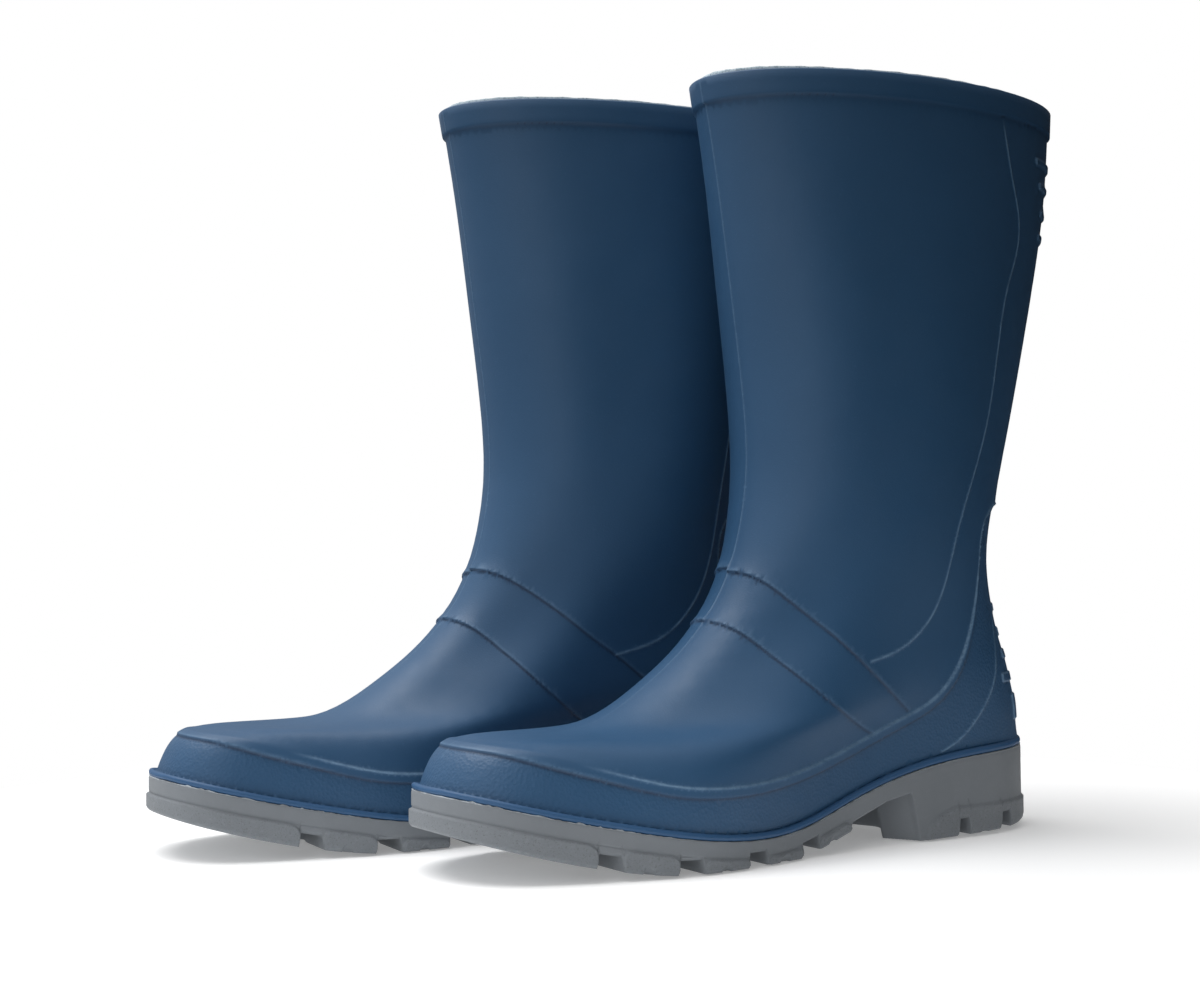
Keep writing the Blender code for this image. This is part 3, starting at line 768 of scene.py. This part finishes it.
def sole_columns():
    """Angles of the outsole's columns, close together beside each groove and pad edge."""
    angles = np.linspace(0, math.pi, 20001)
    points = on_surface(np.zeros(len(angles)), angles)
    edges = [edge for pair in GROOVES + PADS for edge in pair] + [TOE_PAD_BACK, HEEL_PANEL_U]
    edges += list(np.arange(HEEL_BREAST_FOOT_U - 6, 101, 2.0))
    edges += [middle + side * half for middle, half in NOTCHES for side in (-1, 1)]
    near = np.min([np.abs(points[:, 0] - edge) for edge in edges], axis=0)
    wanted = SOLE_FINE + SOLE_GROWTH * np.maximum(near - SOLE_FINE_REACH, 0)
    wanted = np.clip(wanted, SOLE_FINE, SOLE_COARSE)
    step = np.linalg.norm(np.diff(points, axis=0), axis=1)
    passed = np.concatenate([[0], np.cumsum(step / wanted[1:])])
    half = np.interp(np.linspace(0, passed[-1], int(passed[-1]) + 1), passed, angles)
    return np.concatenate([half, 2 * math.pi - half[-2:0:-1]])


def sole_ring(angles, outward, heights):
    points = outline(0, angles, outward, 0)
    points[:, 2] = heights
    return points


def flash_height(u):
    """The ragged flash that stands up at the seam, most of it round the toe."""
    ragged = sum(np.sin(u * scale + turn) for scale, turn in FLASH_WAVES)
    return np.clip(0.14 + 0.16 * ragged, 0, 0.6) * (0.2 + 0.8 * smooth((u - 190) / 50))


def sole_rings(angles):
    """Rings from the middle of the tread, out and up the side, and in over the top."""
    u, v = on_surface(np.zeros(len(angles)), angles)[:, :2].T
    tread = groove_height(u, v, GROOVES) + notch_height(u)
    tread = np.minimum(tread, feather_height(u) - LEAST_SIDE_HEIGHT)
    on_pad, _ = pad_height(u, tread + 1)
    overhang = SOLE_OVERHANG - heel_tuck(u)
    edge = sole_ring(angles, overhang + on_pad - EDGE_CHAMFER, tread)
    rings = []
    for share in np.linspace(TREAD_INNER_SHARE, 1, TREAD_RINGS):
        ring = edge.copy()
        ring[:, 1] *= share
        ring[:, 2] = groove_height(u, ring[:, 1], GROOVES)
        if share < CENTRE_SHARE:
            lugs = ground_height(u, ring[:, 1]) + CENTRE_LUG_RECESS
            ring[:, 2] = np.maximum(groove_height(u, ring[:, 1], CENTRE_GROOVES), lugs)
        rings.append(ring)
    rings[-1][:, 2] = tread
    looks = [np.full(len(angles), PLAIN)] * len(rings)
    top, foot = feather_height(u) - SOLE_GAP, tread + EDGE_CHAMFER * 0.8
    line_shown = smooth((u - LAST_LUG_BACK_U + 2) / 4)
    for share in np.linspace(0, 1, SOLE_ROWS):
        heights = foot + (top - foot) * share
        proud, away = pad_height(u, heights)
        line = stripe(heights - lug_line(u), SIDE_LINE) * line_shown
        turn_in = TOP_TURN_IN * smooth((share - 1 + ROUND_SHARE) / ROUND_SHARE) ** 2
        round_foot = FOOT_ROUND * (1 - smooth(share / ROUND_SHARE))
        outward = overhang + proud - SIDE_LINE_DEPTH * line - turn_in - round_foot
        rings.append(sole_ring(angles, outward, heights))
        looks.append(np.where(away < 0.2, PAD, PLAIN))
    flash = flash_height(u)
    for outward, rise, look in (
        (overhang - 0.12, flash, SEAM), (overhang - 0.6, flash * 0.8, SEAM), (overhang - 1.6, -0.05, SEAM),
        (-PLATEAU_INSET, -0.5, PLAIN), (-PLATEAU_INSET, WALL - 0.2, PLAIN),
    ):
        rings.append(outline(0, angles, outward, rise))
        looks.append(np.full(len(angles), look))
    return np.array(rings), np.concatenate(looks)


def wrap_faces(rings, count, joined=False):
    """Quads between rings of count points each; joined also ties the last ring to the first."""
    faces = []
    for ring in range(rings if joined else rings - 1):
        low, high = ring * count, (ring + 1) % rings * count
        k = np.arange(count)
        after = (k + 1) % count
        faces.append(np.stack([low + k, low + after, high + after, high + k], -1))
    return np.concatenate(faces).tolist()


def strip_cap(start, count, flipped):
    """Faces across a ring, in strips from side to side."""
    half = count // 2
    faces = [(start, start + 1, start + count - 1)]
    for k in range(1, half - 1):
        faces.append((start + k, start + k + 1, start + count - k - 1, start + count - k))
    faces.append((start + half - 1, start + half, start + half + 1))
    return [face[::-1] for face in faces] if flipped else faces


def stack(rings):
    """Rings wrapped and capped into a closed mesh."""
    count = rings.shape[1]
    faces = wrap_faces(len(rings), count)
    faces += strip_cap(0, count, True) + strip_cap((len(rings) - 1) * count, count, False)
    return rings.reshape(-1, 3), faces


def sole_mesh():
    rings, kinds = sole_rings(sole_columns())
    points, faces = stack(rings)
    return points, faces, {"pad": kinds == PAD, "seam": kinds == SEAM}


# ---------------------------------------------------------------- lining and insole


def lining_mesh():
    """The knitted sock: a thin sleeve whose cut edge stands a little above the collar."""
    angles = np.arange(LINING_COLUMNS) * 2 * math.pi / LINING_COLUMNS
    chance = np.random.default_rng(LINING_SEED)
    waves = sum(
        chance.uniform(0.3, 1) * np.sin(k * angles + chance.uniform(0, 6.3)) for k in LINING_WAVES
    )
    ragged = LINING_RAGGED * waves / 2.2
    levels = np.concatenate([np.linspace(0.6, 11.3, 46), np.linspace(11.4, COLLAR_LEVEL, 8)])

    def side(depth, top):
        rings = []
        for level in levels:
            points, normals = with_normal(np.full(LINING_COLUMNS, level), angles)
            rings.append(points - normals * depth)
        for rise in np.linspace(0.3, top, 4):
            ring = rings[len(levels) - 1].copy()
            ring[:, 2] += rise + ragged * rise / LINING_STANDS
            rings.append(ring)
        return rings

    outer_depth = WALL + SHELL_TO_LINING
    outside = side(outer_depth, LINING_STANDS)
    inside = side(outer_depth + LINING_THICKNESS, LINING_STANDS - 0.15)
    middle = (outside[-1] + inside[-1]) / 2
    middle[:, 2] += 0.25
    rings = np.array(outside + [middle] + inside[::-1])
    edge = np.zeros(rings.shape[:2])
    edge[len(levels) - 1 : len(rings) - len(levels) + 1] = 1
    faces = wrap_faces(len(rings), LINING_COLUMNS, joined=True)
    return rings.reshape(-1, 3), faces, {"edge": edge.ravel()}


def footbed_ring(inset, rise):
    """The footbed's outline, drawn in by inset and a little more at the heel."""
    angles = np.arange(FOOTBED_COLUMNS) * 2 * math.pi / FOOTBED_COLUMNS
    u = on_surface(np.full(FOOTBED_COLUMNS, FOOTBED_LEVEL), angles)[:, 0]
    back = np.clip(1 - u / HEEL_CLEARANCE_END_U, 0, 1)
    return outline(FOOTBED_LEVEL, angles, -inset - HEEL_CLEARANCE * back, rise)


def narrowed(ring, share, lift):
    """A ring drawn in towards the middle of the footbed."""
    moved = ring.copy()
    moved[:, 1] *= share
    moved[:, 0] = FOOTBED_MIDDLE_U + (moved[:, 0] - FOOTBED_MIDDLE_U) * (1 - (1 - share) * 0.2)
    moved[:, 2] = feather_height(moved[:, 0]) + lift
    return moved


def slab_mesh(bottom, thickness, dish, edge):
    """A footbed layer with rounded edges, its top dished a little."""
    top = bottom + thickness
    rim = [(edge * 0.8, 0), (edge * 0.2, edge * 0.3), (0, edge), (0, thickness - edge)]
    rim += [(edge * 0.25, thickness - edge * 0.3), (edge, thickness)]
    first, last = (footbed_ring(FOOTBED_INSET + edge, height) for height in (bottom, top))
    rings = [narrowed(first, share, bottom) for share in (0.1, 0.5, 0.9)]
    rings += [footbed_ring(FOOTBED_INSET + inset, bottom + rise) for inset, rise in rim]
    for share in (0.97, 0.93, 0.87, 0.8, 0.7, 0.58, 0.45, 0.3, 0.18, 0.08):
        rings.append(narrowed(last, share, top - dish * smooth((1 - share) / 0.5)))
    return *stack(np.array(rings)), {}


def foam_mesh():
    bottom = WALL + LAYER_GAP + BOARD_THICKNESS + LAYER_GAP
    return slab_mesh(bottom, FOAM_THICKNESS, FOAM_DISH, FOAM_EDGE)


def cover_mesh():
    """The insole's textile, which starts a little lower than its own layer, on the dished foam."""
    bottom = WALL + BOARD_THICKNESS + FOAM_THICKNESS + 3 * LAYER_GAP
    return slab_mesh(bottom - COVER_SUNK, COVER_THICKNESS + COVER_SUNK, COVER_DISH, COVER_EDGE)


# ---------------------------------------------------------------- objects


def boot_to_row(points, side):
    """From one boot's frame to the row frame, before the pair is centred."""
    u, v, h = points[:, 0], points[:, 1], points[:, 2]
    if side < 0:
        turn = math.radians(RIGHT_BOOT_TURN)
        ahead, across = u - TURN_CENTRE_U, -v
        u = TURN_CENTRE_U + ahead * math.cos(turn) + across * math.sin(turn) + RIGHT_BOOT_AHEAD
        v = across * math.cos(turn) - ahead * math.sin(turn)
    return np.stack([v + side * CENTRELINE_SPACING / 2, -u, h], -1) * MM


def row_centre():
    """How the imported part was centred, read from the place of the left insole's hinge."""
    hinge = next(joint for joint in frame["joints"] if joint["name"] == "left_insole_lift")
    height = feather_height([INSOLE_HINGE[0]])[0] + INSOLE_HINGE[1]
    drawn_at = boot_to_row(np.array([[INSOLE_HINGE[0], 0, height]]), 1)[0]
    moved = drawn_at - np.array(hinge["pos_m"])
    moved[2] = 0
    return moved


CENTRE = row_centre()


def add_piece(name, mesh_data, side, look, node, body):
    """A piece of one boot: side is 1 for the left boot and -1 for the right one."""
    points, faces, looks = mesh_data
    placed = boot_to_row(points, side) - CENTRE
    if side < 0:
        faces = [face[::-1] for face in faces]
    mesh = bpy.data.meshes.new(name)
    mesh.from_pydata(placed.tolist(), [], faces)
    for key, values in looks.items():
        attribute = mesh.attributes.new(key, "FLOAT", "POINT")
        attribute.data.foreach_set("value", np.asarray(values, np.float32))
    mesh.materials.append(look)
    mesh.shade_smooth()
    made = bpy.data.objects.new(name, mesh)
    bpy.context.scene.collection.objects.link(made)
    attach(made, body)
    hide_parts(node)
    return made


# ---------------------------------------------------------------- materials


class Nodes:
    """A node tree, with a short call that makes a node and sets or links its inputs."""

    def __init__(self, tree):
        self.tree = tree

    def set_or_link(self, socket, value):
        if isinstance(value, bpy.types.NodeSocket):
            self.tree.links.new(value, socket)
        else:
            socket.default_value = value

    def node(self, kind, inputs=None, **settings):
        made = self.tree.nodes.new(kind)
        for key, value in settings.items():
            setattr(made, key, value)
        for key, value in (inputs or {}).items():
            self.set_or_link(made.inputs[key], value)
        return made


class Look(Nodes):
    """A material, with short calls for the nodes it needs."""

    def __init__(self, name):
        self.material = bpy.data.materials.new(name)
        self.material.use_nodes = True
        super().__init__(self.material.node_tree)
        self.shader = self.tree.nodes["Principled BSDF"]
        self.place = self.node("ShaderNodeTexCoord").outputs["Object"]

    def noise(self, scale, detail=3.0, rough=0.55):
        inputs = {"Vector": self.place, "Scale": scale, "Detail": detail, "Roughness": rough}
        return self.node("ShaderNodeTexNoise", inputs).outputs["Fac"]

    def cells(self, scale):
        return self.node("ShaderNodeTexVoronoi", {"Vector": self.place, "Scale": scale}).outputs["Distance"]

    def attribute(self, name):
        return self.node("ShaderNodeAttribute", attribute_name=name).outputs["Fac"]

    def math(self, operation, a, b, clamp=False):
        return self.node("ShaderNodeMath", {0: a, 1: b}, operation=operation, use_clamp=clamp).outputs[0]

    def product(self, a, b, clamp=False):
        return self.math("MULTIPLY", a, b, clamp)

    def ramp(self, source, low, high, to_low=0.0, to_high=1.0):
        inputs = {"Value": source, "From Min": low, "From Max": high, "To Min": to_low, "To Max": to_high}
        return self.node("ShaderNodeMapRange", inputs, clamp=True).outputs["Result"]

    def mix(self, share, a, b):
        a, b = ((*colour, 1) if isinstance(colour, tuple) else colour for colour in (a, b))
        made = self.node("ShaderNodeMix", {"Factor": share, "A": a, "B": b}, data_type="RGBA")
        return made.outputs["Result"]

    def bump(self, height, distance, strength=1.0, under=None):
        inputs = {"Height": height, "Distance": distance, "Strength": strength}
        if under is not None:
            inputs["Normal"] = under
        return self.node("ShaderNodeBump", inputs).outputs["Normal"]

    def finish(self, colour, roughness, normal, **constants):
        """Sets the shader's inputs; constants are named as the sockets, with _ for a space."""
        inputs = {"Base Color": colour, "Roughness": roughness, "Normal": normal}
        inputs.update({key.replace("_", " "): value for key, value in constants.items()})
        for key, value in inputs.items():
            self.set_or_link(self.shader.inputs[key], value)
        return self.material


def upper_look():
    """Satin moulded PVC: fine grain, coarser on the foxing, paler with painted highlights on moulded edges
    and darker with painted shade under them.
    """
    look = Look("upper_pvc")
    cloud = look.ramp(look.noise(14, 3), 0.35, 0.7)
    blue = look.mix(cloud, BLUE, BLUE_CLOUD)
    speckle = look.ramp(look.noise(900, 2), 0.62, 0.78, 0, 0.35)
    blue = look.mix(speckle, blue, BLUE_SPECKLE)
    # Painted shade: darker blue where the dark attribute marks shade under moulded lips, the band and the
    # collar.
    dark = look.product(look.attribute("dark"), 0.85, clamp=True)
    blue = look.mix(dark, blue, BLUE_PAINTED_SHADE)
    # Painted highlight: paler blue where the line attribute marks moulded edges and ridges, broken up by
    # noise.
    highlight_breakup = look.ramp(look.noise(260, 3), 0.3, 0.6, 0.45, 0.9)
    edge = look.product(look.attribute("line"), highlight_breakup, clamp=True)
    blue = look.mix(look.product(edge, 0.85), blue, BLUE_HIGHLIGHT)
    bead = look.product(look.attribute("bead"), 0.6)
    blue = look.mix(bead, blue, BLUE_BEAD)
    grain = look.math("ADD", look.noise(1300, 3, 0.6), look.product(look.cells(1500), 0.4))
    pebble = look.product(look.product(look.cells(750), look.attribute("foxing")), 2.6)
    fine = look.bump(look.math("ADD", grain, pebble), 0.00012, 0.45)
    normal = look.bump(look.noise(38, 2), 0.0006, 0.25, fine)
    roughness = look.ramp(look.noise(70, 4), 0.3, 0.7, 0.48, 0.58)
    return look.finish(blue, roughness, normal, IOR=1.45)


def sole_look():
    """Matt grey PVC, rough on the lug pads, with pale flash along the seam with the upper."""
    look = Look("outsole_pvc")
    pad, seam = look.attribute("pad"), look.attribute("seam")
    cloud = look.ramp(look.noise(22, 4), 0.3, 0.7)
    grey = look.mix(cloud, GREY, GREY_CLOUD)
    dust = look.ramp(look.noise(700, 3), 0.55, 0.75, 0, 0.5)
    grey = look.mix(look.product(dust, look.ramp(pad, 0, 1, 0.3, 1)), grey, GREY_DUST)
    pits = look.ramp(look.noise(1500, 2), 0.3, 0.42, 0.6, 0)
    grey = look.mix(look.product(pits, pad), grey, GREY_PITS)
    flash = look.product(seam, look.ramp(look.noise(120, 4, 0.7), 0.42, 0.55), clamp=True)
    grey = look.mix(look.product(flash, 0.85), grey, GREY_FLASH)
    rough_grain = look.product(look.noise(1500, 4, 0.7), look.ramp(pad, 0, 1, 0.3, 1.5))
    normal = look.bump(rough_grain, 0.0004, 0.5)
    roughness = look.ramp(look.noise(90, 3), 0.3, 0.7, 0.55, 0.72)
    return look.finish(grey, roughness, normal, IOR=1.48, Sheen_Weight=0.05)


def knit(look, scale):
    """A small rib-and-course pattern from two crossed waves."""
    waves = []
    for direction in ("Z", "Y"):
        inputs = {"Vector": look.place, "Scale": scale, "Distortion": 1.2, "Detail": 2.0}
        wave = look.node("ShaderNodeTexWave", inputs, wave_type="BANDS", bands_direction=direction)
        waves.append(wave.outputs["Fac"])
    return look.product(*waves)


def cloth_look(name, colours, scale):
    """Knitted textile in (dark, light, pale), paler and fuzzy where an edge attribute is set."""
    dark, light, pale = colours
    look = Look(name)
    stitch = knit(look, scale)
    colour = look.mix(stitch, dark, light)
    colour = look.mix(look.ramp(look.noise(500, 3), 0.5, 0.7, 0, 0.4), colour, pale)
    frayed = look.product(look.attribute("edge"), look.ramp(look.noise(900, 2), 0.25, 0.5))
    colour = look.mix(frayed, colour, pale)
    fuzz = look.math("ADD", stitch, look.product(look.noise(2500, 2), 0.6))
    normal = look.bump(fuzz, 0.0004, 0.7)
    return look.finish(colour, 0.95, normal, Sheen_Weight=0.3, Sheen_Roughness=0.6)


def foam_look():
    look = Look("insole_foam")
    cells = look.cells(1400)
    colour = look.mix(look.ramp(cells, 0.1, 0.6), FOAM_SKIN, FOAM_CELLS)
    normal = look.bump(look.math("ADD", cells, look.noise(600, 3)), 0.0003, 0.6)
    return look.finish(colour, 0.92, normal)


def board_look():
    look = Look("board_fibre")
    fibres = look.noise(900, 5, 0.7)
    colour = look.mix(look.ramp(fibres, 0.35, 0.65), BOARD_DARK, BOARD_PALE)
    colour = look.mix(look.ramp(look.noise(30, 3), 0.5, 0.8, 0, 0.5), colour, BOARD_STAIN)
    return look.finish(colour, 0.93, look.bump(fibres, 0.0002, 0.5))


# ---------------------------------------------------------------- studio


def add_camera():
    data = bpy.data.cameras.new("camera")
    data.lens, data.sensor_width = CAMERA_LENS, CAMERA_SENSOR
    camera = bpy.data.objects.new("camera", data)
    flat = Vector((*CAMERA_AHEAD, 0)).normalized()
    ahead = flat * math.cos(CAMERA_PITCH) + Vector((0, 0, math.sin(CAMERA_PITCH)))
    right = Vector((flat.y, -flat.x, 0))
    up = right.cross(ahead)
    rolled_up = up * math.cos(CAMERA_ROLL) + right * math.sin(CAMERA_ROLL)
    rolled_right = right * math.cos(CAMERA_ROLL) - up * math.sin(CAMERA_ROLL)
    turned = Matrix((rolled_right, rolled_up, -ahead)).transposed()
    camera.matrix_world = Matrix.Translation(CAMERA_PLACE) @ turned.to_4x4()
    bpy.context.scene.collection.objects.link(camera)
    bpy.context.scene.camera = camera


def add_light(name, place, size, power):
    data = bpy.data.lights.new(name, "AREA")
    data.shape, data.size, data.size_y = "RECTANGLE", *size
    data.energy = power
    light = bpy.data.objects.new(name, data)
    light.location = place
    light.rotation_euler = (Vector(LIGHT_TARGET) - Vector(place)).to_track_quat("-Z", "Y").to_euler()
    bpy.context.scene.collection.objects.link(light)


def add_world():
    """White to the camera; as a light, bright from above and from one side in front."""
    world = bpy.data.worlds.new("studio")
    world.use_nodes = True
    nodes = Nodes(world.node_tree)
    place = nodes.node("ShaderNodeTexCoord").outputs["Generated"]
    inputs = {0: place, 1: Vector(SOFT_LIGHT_FROM).normalized()}
    toward = nodes.node("ShaderNodeVectorMath", inputs, operation="DOT_PRODUCT").outputs["Value"]
    inputs = {"Value": toward, "From Min": SOFT_LIGHT_SPREAD[0], "From Max": SOFT_LIGHT_SPREAD[1]}
    inputs.update({"To Min": SOFT_LIGHT_POWER[0], "To Max": SOFT_LIGHT_POWER[1]})
    fall = nodes.node("ShaderNodeMapRange", inputs, interpolation_type="SMOOTHSTEP").outputs["Result"]
    seen = nodes.node("ShaderNodeLightPath").outputs["Is Camera Ray"]
    strength = nodes.node("ShaderNodeMix", {"Factor": seen, "A": fall, "B": 1.0}).outputs["Result"]
    background = world.node_tree.nodes["Background"]
    background.inputs["Color"].default_value = (1, 1, 1, 1)
    nodes.set_or_link(background.inputs["Strength"], strength)
    bpy.context.scene.world = world


def add_floor():
    bpy.ops.mesh.primitive_circle_add(
        vertices=96, radius=FLOOR_RADIUS, fill_type="NGON", location=(0, 0, -FLOOR_DROP)
    )
    floor = bpy.context.object
    floor.name = "floor"
    look = Look("floor_paper")
    tone = look.mix(look.ramp(look.noise(3, 2), 0.4, 0.6), *FLOOR_TONES)
    look.shader.inputs["Emission Color"].default_value = (1, 1, 1, 1)
    look.shader.inputs["Emission Strength"].default_value = FLOOR_GLOW
    floor.data.materials.append(look.finish(tone, 0.9, look.bump(look.noise(300, 2), 0.0001, 0.2)))


def add_studio():
    add_world()
    add_light("top", TOP_LIGHT_PLACE, TOP_LIGHT_SIZE, TOP_LIGHT_POWER)
    add_light("side", SIDE_LIGHT_PLACE, SIDE_LIGHT_SIZE, SIDE_LIGHT_POWER)
    add_floor()
    bpy.context.scene.view_settings.view_transform = "Standard"


def build():
    """Both boots, from one set of meshes and materials."""
    knitted = cloth_look("lining_knit", LINING_COLOURS, LINING_KNIT_SCALE)
    woven = cloth_look("insole_textile", COVER_COLOURS, COVER_KNIT_SCALE)
    shapes = {
        "upper_shell": (shell_mesh(), upper_look(), "upper_pvc", "boot"),
        "outsole": (sole_mesh(), sole_look(), "outsole_pvc", "boot"),
        "sock_lining": (lining_mesh(), knitted, "lining_knit", "boot"),
        "insole_foam": (foam_mesh(), foam_look(), "insole_foam", "insole"),
        "insole_cover": (cover_mesh(), woven, "insole_textile", "insole"),
    }
    board = board_look()
    for side, boot in ((1, "left"), (-1, "right")):
        for piece, (mesh_data, look, slot, body) in shapes.items():
            made = add_piece(
                f"{boot}_{piece}_looks", mesh_data, side, look, f"{boot}_{piece}", f"{boot}_{body}"
            )
        node = frame["nodes"][f"{boot}_lasting_board"]
        node.data.materials.clear()
        node.data.materials.append(board)


add_camera()
add_studio()
build()
